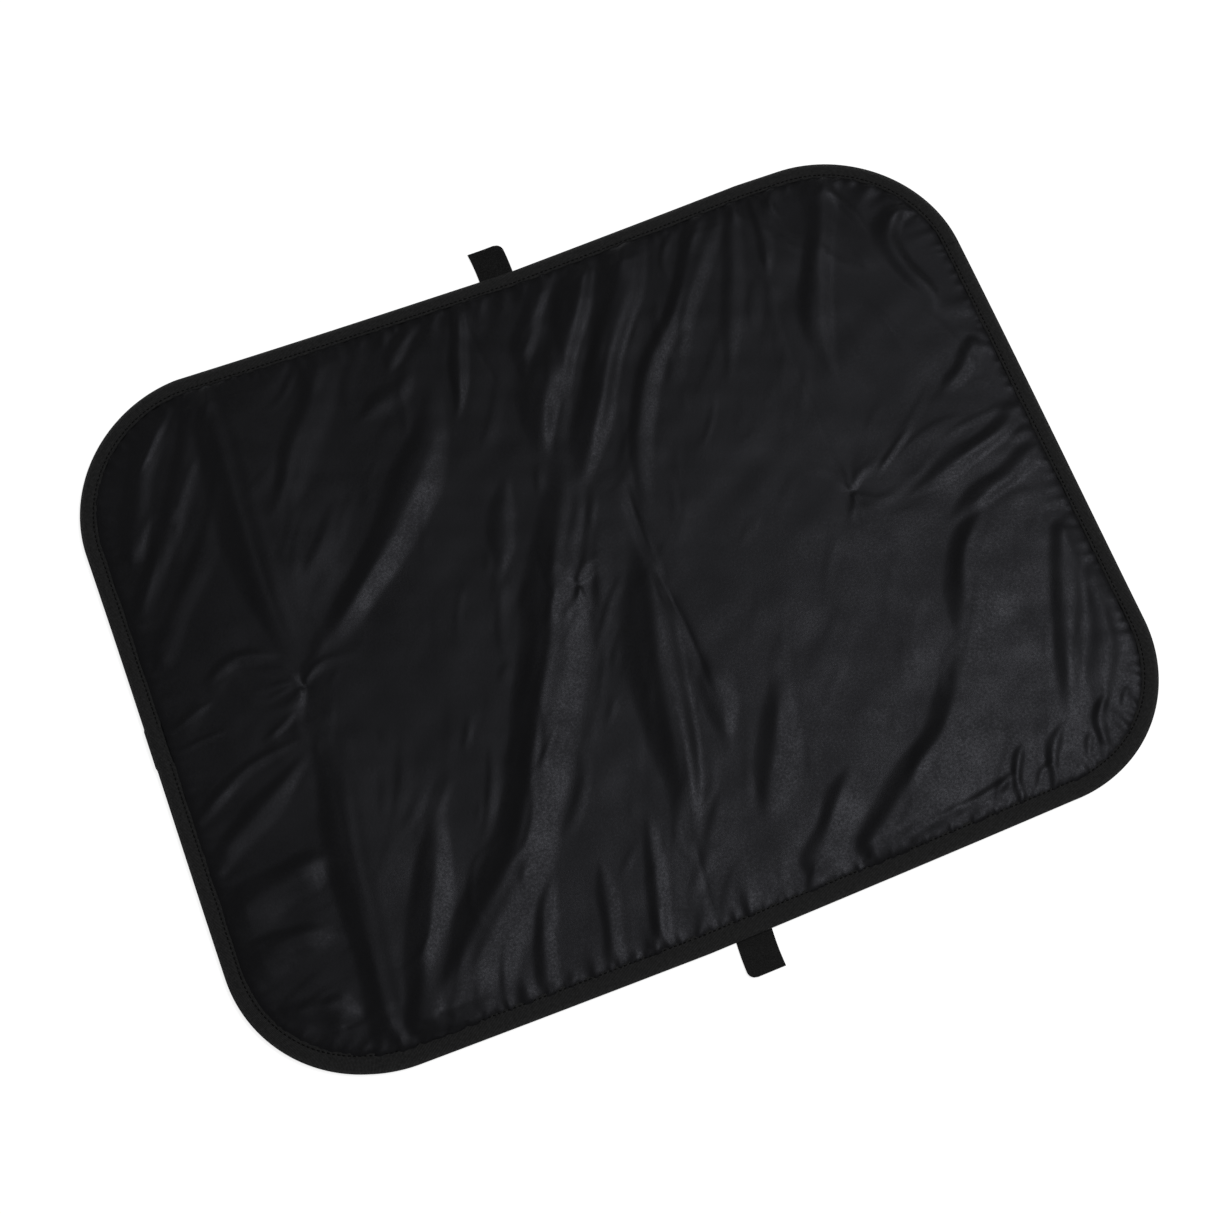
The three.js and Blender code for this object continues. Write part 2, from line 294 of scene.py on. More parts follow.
def smooth(t):
    """0 up to t = 0 and 1 from t = 1, with a smooth step between them."""
    t = np.clip(t, 0, 1)
    return t * t * (3 - 2 * t)


def ridge(distance, left, right):
    """1 on the crest, sloping down to 0 over left and right millimetres."""
    return smooth(1 - np.abs(distance) / (np.where(distance > 0, left, right) * MM))


WRINKLES = 330


def grain_angle(x, y):
    """Which way the small wrinkles run there, in degrees from the mat's length."""
    if x < -217 * MM and y < 50 * MM:
        return 52 * smooth((y + 20 * MM) / (70 * MM)) + 6
    if x > 185 * MM and y > -60 * MM:
        return 16 + 92 * smooth((y - 30 * MM) / (60 * MM))
    return 58


def small_wrinkles(x, y):
    """Fine wrinkles along the grain: many near the seam and the long diagonal, few on the calm parts."""
    draw = np.random.default_rng(33)
    height = np.zeros(x.shape)
    diagonal = curve_through(FOLDS[0][0] + FOLDS[1][0][2:]) * MM
    for _ in range(WRINKLES):
        centre = np.array([draw.uniform(LEFT, RIGHT), draw.uniform(FRONT, BACK)])
        angle = math.radians(grain_angle(*centre) + draw.normal(0, 9))
        length, bend = draw.uniform(20, 85) * MM, draw.normal(0, 0.12)
        left, right = draw.uniform(3, 7), draw.uniform(4, 11)
        amount = draw.uniform(0.15, 0.6)
        inset = float(inset_of(*centre))
        if inset < TAPE_WIDTH + 6 * MM:
            continue
        beside = np.linalg.norm(diagonal - centre, axis=1).min()
        by_seam, by_diagonal = 1.2 * math.exp(-inset / (55 * MM)), math.exp(-(beside / (45 * MM)) ** 2)
        amount *= min(1, 0.22 + by_seam + by_diagonal)
        along = length * np.array([math.cos(angle), math.sin(angle)])
        across = bend * np.array([-along[1], along[0]])
        line = [tuple((centre + along * t + across * (1 - 4 * t * t)) / MM) for t in (-0.5, -0.2, 0.2, 0.5)]
        index, distance, share = near_line(x, y, line, (left + right) * MM)
        taper = smooth(2.2 * share) * smooth(2.2 * (1 - share))
        height[index] += amount * MM * ridge(distance, left, right) * taper
    return height


def end_taper(points, share, rate):
    """1 along a fold, falling to 0 at each end that is not at the seam."""
    ends = sorted((points[0], points[-1]), key=lambda point: point[1])
    first, last = (max(abs(px) - 290, abs(py) - 212) > 0 for px, py in ends)
    return smooth(1 if first else rate * share) * smooth(1 if last else rate * (1 - share))


def fold_ridges(x, y):
    """The folds: each wavers in width, narrows towards its free ends and has faint ripples beside it."""
    height = np.zeros(x.shape)
    for points, amount, left, right in FOLDS:
        index, distance, share = near_line(x, y, points, (left + right) * MM)
        taper = end_taper(points, share, 2.6)
        waver = (0.45 + 0.55 * taper) * (1 + 0.12 * np.sin(9 * share + points[0][0]))
        ripples = np.sin(distance / (2.1 * MM) + 5 * share + points[0][1])
        ripples *= 0.05 * smooth(1 - np.abs(distance) / (20 * MM))
        height[index] += amount * MM * (ridge(distance, left * waver, right * waver) + ripples) * taper
    return height


def crease_grooves(x, y):
    """The sharp marks where the mat has been folded across."""
    height = np.zeros(x.shape)
    for points, depth, width in CREASES:
        index, distance, share = near_line(x, y, points, 30 * MM)
        height[index] -= depth * MM * np.exp(-np.abs(distance) / (width * MM)) * end_taper(points, share, 6)
    return height


def crumple_rays(x, y):
    """Each crumple: a dent, and rays that run out from it, bend and widen."""
    height = np.zeros(x.shape)
    for (cx, cy), reach, depth, rays in CRUMPLES:
        px, py = x - cx * MM, y - cy * MM
        radius = np.hypot(px, py)
        height -= depth * MM * np.exp(-(radius / (8 * MM)) ** 2)
        for degrees, amount in rays:
            a = math.radians(degrees)
            a = a + 0.25 * np.sin(radius / (11 * MM) + 2 * a)
            forward = px * np.cos(a) + py * np.sin(a)
            across = -px * np.sin(a) + py * np.cos(a)
            width = 0.9 * MM + 0.10 * np.maximum(forward, 0)
            fade = smooth(forward / (4 * MM)) * np.exp(-(forward / (reach * MM)) ** 2)
            height += amount * MM * np.exp(-(across / width) ** 2) * fade
    return height


def fold_height(x, y):
    """Height that the folds, wrinkles, creases and crumples add to the smooth crown."""
    wander = 2.4 * MM
    shift_x, shift_y = (wander * wave_noise(x, y, 0.12, seed, 2) for seed in (3, 4))
    height = fold_ridges(x + shift_x, y + shift_y) + small_wrinkles(x + shift_x, y + shift_y)
    return height + crease_grooves(x + 0.35 * shift_x, y) + crumple_rays(x, y)


# Puckers at the seam, in millimetres: the ranges of their length, width and height, and of the gaps between
LONG_GATHER = ((18, 42), (2.2, 3.4), (0.6, 1.1))
SHORT_GATHER = ((5, 13), (1.4, 2.2), (0.5, 1.1))
GATHER_GAP = (3.5, 11)
LONG_SHARE = 0.3


def seam_gathers(x, y, inset):
    """Short puckers that run in from the seam. On the front and back edges they are higher and slant more."""
    points, normals, run = outline(TAPE_WIDTH, 2 * MM)
    near = inset < 60 * MM
    gx, gy = x[near], y[near]
    total = np.zeros(gx.shape)
    draw = np.random.default_rng(21)
    place = 0.0
    while place < run[-1]:
        k = int(np.searchsorted(run, place)) % len(points)
        (px, py), (nx, ny) = points[k], normals[k]
        on_long_edge = abs(ny) > 0.3
        slant = draw.uniform(-0.1, 0.8) * (1 if on_long_edge else 0.4)
        lengths, widths, heights = LONG_GATHER if draw.uniform() < LONG_SHARE else SHORT_GATHER
        length, width = draw.uniform(*lengths) * MM, draw.uniform(*widths) * MM
        amount = draw.uniform(*heights) * MM * (1.5 if on_long_edge else 0.9)
        ix, iy = np.array([-nx - slant * ny, -ny + slant * nx]) / math.hypot(1, slant)
        across = -(gx - px) * iy + (gy - py) * ix
        local = np.abs(across) < 5 * width
        forward = ((gx - px) * ix + (gy - py) * iy)[local]
        spread = width + 0.15 * np.maximum(forward, 0)
        fade = np.clip(1 - forward / length, 0, 1) ** 1.5 * (forward > -8 * MM)
        total[local] += amount * np.exp(-(across[local] / spread) ** 2) * fade
        place += draw.uniform(*GATHER_GAP) * MM
    height = np.zeros(x.shape)
    height[near] = total
    return height


def crown(inset, low, high, rise):
    """Height of the padded surface: a small step beside the tape, then a long slow rise."""
    inside = np.maximum(inset - TAPE_WIDTH, 0)
    step = 0.35 * (1 - np.exp(-inside / (2.5 * MM)))
    t = np.clip(inside / rise, 0, 1)
    return low + (high - low) * (step + (1 - step) * (1 - (1 - t) ** 2))


def cover_height(x, y):
    """The top cover's height over the surface the mat lies on."""
    inset = inset_of(x, y)
    inside = inset - TAPE_WIDTH
    height = crown(inset, SEAM_Z, PAD_TOP - FOLD_ROOM, COVER_RISE)
    height = height + 0.55 * MM * wave_noise(x, y, 0.09, 11) * np.clip(inside / (30 * MM), 0, 1)
    full = 0.25 + 0.75 * np.clip(inside / (14 * MM), 0, 1)
    height = height + fold_height(x, y) * full * (inside > -4 * MM) + seam_gathers(x, y, inset)
    over = np.maximum(height - (COVER_CEILING - COVER_KNEE), 0)
    height = np.where(over > 0, COVER_CEILING - COVER_KNEE * np.exp(-over / COVER_KNEE), height)
    lowest = SEAM_Z - TUCK_DEPTH
    return lowest + (height - lowest) * np.clip(1 + inside / TUCKED, 0, 1)


# ---------------------------------------------------------------- mesh helpers
def make_object(name, vertices, faces, uv=None):
    """A smooth mesh object. uv holds one pair for each vertex."""
    mesh = bpy.data.meshes.new(name)
    mesh.from_pydata([tuple(v) for v in vertices], [], faces)
    if uv is not None:
        layer = mesh.uv_layers.new(name="tape")
        loops = np.zeros(len(mesh.loops), np.int32)
        mesh.loops.foreach_get("vertex_index", loops)
        layer.data.foreach_set("uv", uv[loops].astype(np.float32).ravel())
    mesh.polygons.foreach_set("use_smooth", np.ones(len(mesh.polygons), bool))
    mesh.update()
    obj = bpy.data.objects.new(name, mesh)
    bpy.context.scene.collection.objects.link(obj)
    return obj


def grid_cells(pitch, inset_limit):
    """A grid over the mat without what lies outside inset_limit: its points' x and y, and its cells."""
    nx = int(round(2 * HALF_X / pitch)) + 1
    ny = int(round(2 * HALF_Y / pitch)) + 1
    xs, ys = np.linspace(-HALF_X, HALF_X, nx), np.linspace(-HALF_Y, HALF_Y, ny)
    gx, gy = np.meshgrid(xs, ys)
    inside = inset_of(gx, gy) > inset_limit
    cell = inside[:-1, :-1] & inside[1:, :-1] & inside[:-1, 1:] & inside[1:, 1:]
    rows, cols = np.nonzero(cell)
    corner = rows * nx + cols
    quads = np.stack([corner, corner + 1, corner + nx + 1, corner + nx], axis=1)
    used, quads = np.unique(quads, return_inverse=True)
    return gx.ravel()[used], gy.ravel()[used], quads.reshape(-1, 4)


def closed_slab(top, bottom, cells):
    """Vertices and faces of the solid between two copies of one patch of cells."""
    count = len(top)
    rim = {}
    for a, b, c, d in cells:
        for edge in ((a, b), (b, c), (c, d), (d, a)):
            if edge[::-1] in rim:
                del rim[edge[::-1]]
            else:
                rim[edge] = True
    faces = cells.tolist() + (cells[:, ::-1] + count).tolist()
    faces += [(b, a, a + count, b + count) for a, b in rim]
    return np.vstack([top, bottom]), faces


def add_tube(vertices, faces, rings):
    """Adds a tube through rings of points, closed at both ends, to the vertices and faces of a mesh."""
    sides = len(rings[0])
    starts = [len(vertices) + k * sides for k in range(len(rings))]
    for low, high in zip(starts[:-1], starts[1:]):
        for i in range(sides):
            j = (i + 1) % sides
            faces.append((low + i, low + j, high + j, high + i))
    faces.append(tuple(range(starts[0], starts[0] + sides))[::-1])
    faces.append(tuple(range(starts[-1], starts[-1] + sides)))
    for ring in rings:
        vertices.extend(ring)


# Each layer of cloth is one sheet. It is handed over in four lengths that meet halfway between the creases.
# Each has the crease it bends over, the bodies on that crease's left and right, and its panels in the CAD.
Span = namedtuple("Span", "label joint left_body right_body panels")
SPANS = [
    Span("left_flap", "left_end_fold", "left_end", "left_inner", ["left_end"]),
    Span("left_side", "left_inner_fold", "left_inner", "spine", ["left_inner"]),
    Span("right_side", "right_inner_fold", "spine", "right_inner", ["spine", "right_inner"]),
    Span("right_flap", "right_end_fold", "right_inner", "right_end", ["right_end"]),
]
EDGE_KINDS = ("binding", "stitching")


def span_limits(left=-math.inf, right=math.inf):
    """Every length of cloth, with where it starts and ends along the mat."""
    folds = [FOLD_X[span.joint] for span in SPANS]
    cuts = [(a + b) / 2 for a, b in zip(folds[:-1], folds[1:])]
    return list(zip(SPANS, [left] + cuts, cuts + [right]))


def cut_cells(x, cells):
    """For every length of cloth: the points that its cells use, and the cells over those points."""
    centres = x[cells].mean(axis=1)
    for span, low, high in span_limits():
        used, own = np.unique(cells[(centres >= low) & (centres < high)], return_inverse=True)
        yield span, used, own.reshape(-1, 4)


def cad_nodes(kind, span):
    """The CAD nodes of one layer in a length of cloth. On the edges, a panel between the ends has two."""
    nodes = []
    for panel in span.panels:
        parted = kind in EDGE_KINDS and not panel.endswith("_end")
        nodes += [f"{kind}_{panel}{end}" for end in (("_front", "_back") if parted else ("",))]
    return nodes


def join_length(part, span, kind, material):
    """Gives a length of cloth its material, bakes its place into its mesh and hides the CAD nodes that it
    stands for.
    """
    part.data.materials.append(material)
    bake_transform(part)
    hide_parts(*cad_nodes(kind, span))


def cut_layer(name, vertices, cells, kind, material, uv=None):
    """Makes one layer of cloth in its four lengths, which keep the uncut layer's shading where they meet."""
    whole = make_object(name, vertices, cells.tolist())
    normals = np.zeros(len(vertices) * 3, np.float32)
    whole.data.vertex_normals.foreach_get("vector", normals)
    normals = normals.reshape(-1, 3)
    bpy.data.objects.remove(whole)
    parts = []
    for span, used, own in cut_cells(vertices[:, 0], cells):
        own_uv = None if uv is None else uv[used]
        part = make_object(f"{name}_{span.label}", vertices[used], own.tolist(), own_uv)
        part.data.normals_split_custom_set_from_vertices(normals[used])
        join_length(part, span, kind, material)
        parts.append(part)
    return parts


# ---------------------------------------------------------------- materials
class Surface:
    """A material being put together on its own shader."""

    def __init__(self, name):
        self.material = bpy.data.materials.new(name)
        self.material.use_nodes = True
        tree = self.material.node_tree
        self.nodes, self.links = tree.nodes, tree.links
        self.shader = self.nodes["Principled BSDF"]

    def object_coordinates(self):
        return self.nodes.new("ShaderNodeTexCoord").outputs["Object"]

    def set_value(self, socket, value):
        self.shader.inputs[socket].default_value = value

    def noise(self, coordinates, scale, detail, roughness=0.55):
        noise = self.nodes.new("ShaderNodeTexNoise")
        noise.inputs["Scale"].default_value = scale
        noise.inputs["Detail"].default_value = detail
        noise.inputs["Roughness"].default_value = roughness
        self.links.new(coordinates, noise.inputs["Vector"])
        return noise.outputs["Fac"]

    def wave(self, coordinates, period, direction, distortion=0.0):
        """Sine bands with the given period in metres."""
        wave = self.nodes.new("ShaderNodeTexWave")
        wave.bands_direction = direction
        wave.inputs["Scale"].default_value = math.pi / 10 / period
        wave.inputs["Distortion"].default_value = distortion
        wave.inputs["Detail"].default_value = 1.0
        self.links.new(coordinates, wave.inputs["Vector"])
        return wave.outputs["Fac"]

    def combine(self, operation, a, b):
        """A pattern made of two patterns, or of a pattern and a number."""
        node = self.nodes.new("ShaderNodeMath")
        node.operation = operation
        for socket, value in zip(node.inputs, (a, b)):
            if isinstance(value, (int, float)):
                socket.default_value = value
            else:
                self.links.new(value, socket)
        return node.outputs["Value"]

    def weighed(self, a, weight_a, b, weight_b):
        """The sum of two patterns, each with its weight."""
        a, b = self.combine("MULTIPLY", a, weight_a), self.combine("MULTIPLY", b, weight_b)
        return self.combine("ADD", a, b)

    def ramp(self, factor, stops, socket):
        """Lets a pattern drive one of the shader's sockets through stops of place and colour or value."""
        ramp = self.nodes.new("ShaderNodeValToRGB")
        elements = ramp.color_ramp.elements
        while len(elements) < len(stops):
            elements.new(0.5)
        for element, (place, value) in zip(elements, stops):
            element.position = place
            element.color = (*value, 1) if hasattr(value, "__len__") else (value, value, value, 1)
        self.links.new(factor, ramp.inputs["Fac"])
        self.links.new(ramp.outputs["Color"], self.shader.inputs[socket])

    def bump(self, height, distance, strength):
        bump = self.nodes.new("ShaderNodeBump")
        bump.inputs["Strength"].default_value = strength
        bump.inputs["Distance"].default_value = distance
        self.links.new(height, bump.inputs["Height"])
        self.links.new(bump.outputs["Normal"], self.shader.inputs["Normal"])


def cover_material():
    """Black nylon satin: fine weave, faint slubs, a soft sheen that breaks up a little."""
    surface = Surface("satin_cover")
    at = surface.object_coordinates()
    tone = surface.noise(at, 9, 6)
    surface.ramp(tone, [(0.3, (0.0048, 0.0047, 0.0047)), (0.7, (0.0071, 0.0070, 0.0072))], "Base Color")
    slub = surface.noise(at, 620, 3, 0.7)
    worn = surface.weighed(surface.noise(at, 38, 5), 0.4, slub, 0.6)
    surface.ramp(worn, [(0.40, 0.36), (0.60, 0.55)], "Roughness")
    surface.set_value("Specular IOR Level", 0.43)
    surface.set_value("Specular Tint", (0.88, 0.89, 1, 1))
    warp, weft = surface.wave(at, 0.55 * MM, "X", 0.6), surface.wave(at, 0.7 * MM, "Y", 0.6)
    grain = surface.combine("ADD", surface.combine("ADD", warp, weft), surface.combine("MULTIPLY", slub, 4))
    surface.bump(grain, 0.022 * MM, 0.8)
    return surface.material


def lining_material():
    """Coated cloth: smoother and a little glossier than the cover, with a fine emboss."""
    surface = Surface("coated_lining")
    at = surface.object_coordinates()
    tone = surface.noise(at, 14, 5)
    surface.ramp(tone, [(0.3, (0.0075, 0.0078, 0.0085)), (0.7, (0.0110, 0.0114, 0.0125))], "Base Color")
    surface.ramp(surface.noise(at, 60, 4), [(0.3, 0.42), (0.7, 0.56)], "Roughness")
    rows, columns = (surface.wave(at, 1.1 * MM, direction) for direction in "XY")
    surface.bump(surface.combine("MULTIPLY", rows, columns), 0.06 * MM, 0.8)
    return surface.material


def wadding_material():
    """White polyester fibre."""
    surface = Surface("wadding_fibre")
    fibre = surface.noise(surface.object_coordinates(), 220, 8, 0.7)
    surface.ramp(fibre, [(0.3, (0.62, 0.62, 0.6)), (0.7, (0.84, 0.84, 0.82))], "Base Color")
    surface.set_value("Roughness", 0.95)
    surface.bump(fibre, 1.2 * MM, 0.9)
    return surface.material


def tape_material():
    """Ribbed polyester tape: ribs across its length, a tight weave between them, and a few pale fibres."""
    surface = Surface("binding_tape")
    place = surface.nodes.new("ShaderNodeUVMap")
    place.uv_map = "tape"
    ribs = surface.wave(place.outputs["UV"], 0.9 * MM, "X", 0.4)
    picks = surface.wave(place.outputs["UV"], 0.6 * MM, "Y", 0.8)
    body = surface.combine("ADD", ribs, surface.combine("MULTIPLY", picks, 0.5))
    lint = surface.noise(surface.object_coordinates(), 480, 3, 0.75)
    tone = surface.weighed(body, 0.35, lint, 0.6)
    surface.ramp(tone, [(0.3, (0.005, 0.0051, 0.0053)), (0.6, (0.021, 0.0211, 0.0215)),
                        (0.8, (0.055, 0.055, 0.056))], "Base Color")
    surface.set_value("Roughness", 0.78)
    surface.set_value("Specular IOR Level", 0.35)
    surface.bump(body, 0.12 * MM, 0.9)
    return surface.material


def thread_and_painted_shade_material():
    """Black sewing thread with its twist, coloured darker than the black tape so that it also carries painted
    shade from the dents the stitches pull in the tape.
    """
    surface = Surface("sewing_thread")
    twist = surface.noise(surface.object_coordinates(), 1500, 2)
    # near-black: the thread's own black with painted shade from the stitch dents added in
    surface.ramp(twist, [(0.3, 0.001), (0.7, 0.003)], "Base Color")
    surface.set_value("Roughness", 0.6)
    surface.set_value("Specular IOR Level", 0.2)
    surface.bump(twist, 0.05 * MM, 0.6)
    return surface.material


def tab_material(name, dark, light, roughness):
    """Hook or loop tape: deep matt black, with lint caught in it."""
    surface = Surface(name)
    fuzz = surface.noise(surface.object_coordinates(), 1300, 5, 0.75)
    surface.ramp(fuzz, [(0.35, dark), (0.75, light)], "Base Color")
    surface.set_value("Roughness", roughness)
    surface.set_value("Specular IOR Level", 0.25)
    surface.bump(fuzz, 0.25 * MM, 0.8)
    return surface.material


# ---------------------------------------------------------------- the top cover and the lining
def lay_out(x, y, z):
    """Points of the straight-edged mat, moved to where the sewn one has them."""
    return np.stack([*bowed(x, y), z], axis=1)


def build_cover(material):
    x, y, cells = grid_cells(COVER_PITCH, HIDDEN_EDGE)
    points = lay_out(x, y, cover_height(x, y))
    return cut_layer("top_cover", points, cells, "top_cover", material)


def lining_height(x, y):
    """The lining lies slack on the surface under the mat and rises to the tape at the edge."""
    inside = inset_of(x, y) - TAPE_WIDTH
    waves = 0.5 * MM * (1 + wave_noise(x, y, 0.07, 31)) * np.clip(inside / (20 * MM), 0, 1)
    lift = (TAPE_LOW + 0.8 * MM) * smooth(1 - inside / (9 * MM))
    return 0.1 * MM + np.clip(waves, 0, 1.2 * MM) + lift


def build_lining(material):
    x, y, cells = grid_cells(LINING_PITCH, HIDDEN_EDGE)
    points = lay_out(x, y, lining_height(x, y))
    return cut_layer("lining", points, cells[:, ::-1], "lining", material)


# ---------------------------------------------------------------- the wadding
def build_wadding(material):
    """A soft slab between the two cloths, as one closed solid for each length."""
    x, y, cells = grid_cells(WADDING_PITCH, TAPE_WIDTH + 3 * MM)
    bowed_x = bowed(x, y)[0]
    # squashed thin over each crease, so that it stays inside the cloth when the mat is folded
    squashed = sum(smooth(2 - np.abs(bowed_x - fold) / (16 * MM)) for fold in FOLD_X.values())
    low = lining_height(x, y) + 0.9 * MM + 3.2 * MM * squashed
    high = crown(inset_of(x, y), TAPE_HIGH - 2.6 * MM, PAD_TOP - 7.0 * MM, WADDING_RISE)
    high = np.minimum(high + 0.4 * MM * wave_noise(x, y, 0.05, 41), cover_height(x, y) - 1.0 * MM)
    low = np.minimum(low, high - 0.4 * MM)
    top, bottom = lay_out(x, y, high), lay_out(x, y, low)
    for span, used, own in cut_cells(bowed_x, cells):
        part = make_object(f"wadding_pad_{span.label}", *closed_slab(top[used], bottom[used], own))
        join_length(part, span, "wadding", material)


# ---------------------------------------------------------------- the binding tape
def tape_face():
    """The folded tape's outer face as points of inset and height: from its inner edge on top, over the groove
    that the stitches pull in it, round the mat's edge, and back underneath."""
    width, half = TAPE_WIDTH, TAPE_HALF
    upper = [(width, half - 1.1 * MM), (width - 0.5 * MM, half - 0.55 * MM),
             (width - 1.6 * MM, half - 0.45 * MM), (width - STITCH_MARGIN, half - 0.75 * MM),
             (width - 3.6 * MM, half - 0.25 * MM), (width * 0.5, half), (width * 0.3, half - 0.15 * MM),
             (width * 0.16, half - 0.7 * MM), (width * 0.06, half - 1.5 * MM), (0.0, half * 0.25)]
    lower = [(inset, -height) for inset, height in upper[::-1]]
    return np.array(upper + lower) + (0, TAPE_MIDDLE)


def inward_offsets(face):
    """From each point of the tape's outer face to its inner face, as inset and height."""
    tangent = np.gradient(face, axis=0)
    tangent /= np.linalg.norm(tangent, axis=1)[:, None]
    inward = np.stack([-tangent[:, 1], tangent[:, 0]], axis=1)
    to_middle = (TAPE_WIDTH * 0.6, TAPE_MIDDLE) - face
    away = (to_middle * inward).sum(axis=1) < 0
    inward[away] *= -1
    return TAPE_THICKNESS * inward


def build_binding(material):
    points, normals, run = outline(0, 2.0 * MM)
    along, total = run[:-1], run[-1]
    # slow waves that fit the length round the mat, and a scallop between the stitches
    phases = np.random.default_rng(5).uniform(0, FULL_TURN, 8)
    slow = sum(np.sin(FULL_TURN * round(total / length) * along / total + phase)
               for length, phase in zip((0.21, 0.097, 0.052, 0.031), phases)) / 3
    quick = np.sin(FULL_TURN * along / (13 * MM) + 2 * slow)
    scallop = 0.5 + 0.5 * np.cos(FULL_TURN * along / STITCH_PITCH)
    overlapping = (points[:, 0] < LEFT + 1 * MM) & (points[:, 1] > LAP_FRONT) & (points[:, 1] < LAP_BACK)
    lap = LAP_STEP * overlapping
    face = tape_face()
    outer = []
    for inset, height in face:
        near_seam = np.clip((inset - 0.55 * TAPE_WIDTH) / (0.45 * TAPE_WIDTH), 0, 1)
        moved = inset - lap + (0.45 * MM * slow + front_widening(normals)) * near_seam
        swell = lap + (0.11 * MM * quick + 0.10 * MM * scallop) * near_seam
        if inset > 1 * MM:
            swell = swell + 0.18 * MM * slow * (1 - near_seam)
        edge = points - normals * moved[:, None]
        outer.append(lay_out(edge[:, 0], edge[:, 1], height + np.sign(height - TAPE_MIDDLE) * swell))
    # the section goes out along the tape's outer face and back along its inner one
    outer, offsets = np.array(outer), inward_offsets(face)
    inner = outer.copy()
    inner[:, :, :2] -= offsets[:, None, :1] * normals
    inner[:, :, 2] += offsets[:, 1:]
    vertices = np.concatenate([outer, inner[::-1]])
    face_run = np.concatenate([[0], np.cumsum(np.linalg.norm(np.diff(face, axis=0), axis=1))])
    uv = np.stack(np.meshgrid(along, np.concatenate([face_run, face_run[::-1]])), axis=-1)
    column = np.arange(len(points))
    row = len(points) * np.arange(len(vertices))[:, None]
    next_column, next_row = np.roll(column, -1), np.roll(row, -1)
    cells = np.stack([row + column, next_row + column, next_row + next_column, row + next_column], axis=-1)
    cut_layer("binding_tape", vertices.reshape(-1, 3), cells.reshape(-1, 4), "binding", material,
              uv.reshape(-1, 2))


# ---------------------------------------------------------------- the stitches
# A thread's rings: how far along it each is, its share of the radius, and how many radii it stands up
THREAD_RINGS = [(0, 0.35, -0.9), (0.12, 0.85, -0.1), (0.5, 1, 0.35), (0.88, 0.85, -0.1), (1, 0.35, -0.9)]
THREAD_SIDES = 6


def thread_rings(start, end, up):
    """One stitch from start to end, sunk at both ends. up is 1 on the mat's top and -1 underneath."""
    along = (end - start) / np.linalg.norm(end - start)
    up = np.array([0.0, 0.0, up])
    across = np.cross(up, along)
    angles = np.arange(THREAD_SIDES) * FULL_TURN / THREAD_SIDES
    section = np.outer(np.cos(angles), across) + np.outer(np.sin(angles), up)
    return [start + (end - start) * t + STITCH_RADIUS * (up * rise + section * size)
            for t, size, rise in THREAD_RINGS]


def build_stitches(material):
    """A row of stitches near the tape's inner edge, on top and underneath."""
    points, normals, run = outline(TAPE_WIDTH - STITCH_MARGIN, 0.5 * MM)
    points = points - normals * front_widening(normals)[:, None]
    closed = np.vstack([points, points[:1]])
    count = int(run[-1] / STITCH_PITCH)
    draw = np.random.default_rng(9)
    for span, low, high in span_limits():
        vertices, faces = [], []
        for k in range(count):
            begin = (k + 0.5) * run[-1] / count - STITCH_LENGTH / 2 + draw.normal(0, 0.08) * MM
            places = np.array([begin, begin + STITCH_LENGTH]) % run[-1]
            x, y = bowed(*(np.interp(places, run, closed[:, axis]) for axis in (0, 1)))
            y += draw.normal(0, 0.1) * MM * np.array([1, -1])
            if not low <= x.mean() < high:
                continue
            for up in (1, -1):
                z = TAPE_MIDDLE + up * (TAPE_HALF - STITCH_SUNK)
                start, end = np.stack([x, y, [z, z]], axis=1)
                add_tube(vertices, faces, thread_rings(start, end, up))
        part = make_object(f"stitch_row_{span.label}", vertices, faces)
        join_length(part, span, "stitching", material)


# ---------------------------------------------------------------- the tabs
TAB_CELLS_ACROSS, TAB_CELLS_ALONG = 34, 50
TAB_CORNER = 5.5 * MM         # one outer corner is cut round: the right one, looking outwards from the mat
TAB_LEAN = 0.03               # the tabs lean over towards the mat's left, by this share of their length
TAB_CURL = 1.4 * MM           # how far the tip curls up
TAB_WEAVE = 1.4 * MM
FIBRE_RINGS, FIBRE_SIDES = 5, 3

Tab = namedtuple("Tab", "side edge reach root width centre base thickness")
# A pile's fibres stand in rows. Each may stray from its place by a share of the gap and be turned round. It
# has a size between two in millimetres, an angle that it curls through, and a radius.
Pile = namedtuple("Pile", "rows stray turn sizes curl radius")
PILES = {
    "hook": Pile(rows=15, stray=0, turn=0, sizes=(0.6, 0.6), curl=1.25 * math.pi, radius=0.11 * MM),
    "loop": Pile(rows=30, stray=0.5, turn=FULL_TURN, sizes=(0.385, 0.66), curl=0.95 * math.pi,
                 radius=0.07 * MM),
}


def measure_tab(name):
    """A tab's sizes, from the CAD's free tab and its root. side is 1 at the back edge and -1 at the front."""
    low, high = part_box(name)
    root_low, root_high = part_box(f"{name}_root")
    side = 1 if low.y > 0 else -1
    edge = HALF_Y * side
    tip = high.y if side > 0 else low.y
    return Tab(side=side, edge=edge, reach=abs(tip - edge), root=root_high.y - root_low.y,
               width=high.x - low.x, centre=(low.x + high.x) / 2, base=root_low.z + 0.15 * MM,
               thickness=(high.z - low.z) * 0.6)


def tab_underside(tab, u, v, across):
    """Points of a tab's underside: u is -0.5 to 0.5 over its width, v is metres out from the mat's edge, and
    across is metres from its middle line."""
    x = tab.centre + tab.side * across - TAB_LEAN * v
    y = tab.side * v + bowed(x, tab.edge)[1]
    curl = TAB_CURL * np.clip(v / tab.reach, 0, 1) ** 2 * (1 + 0.4 * np.sin(3 * u)) * (0.7 + 0.3 * u)
    return x, y, tab.base + curl


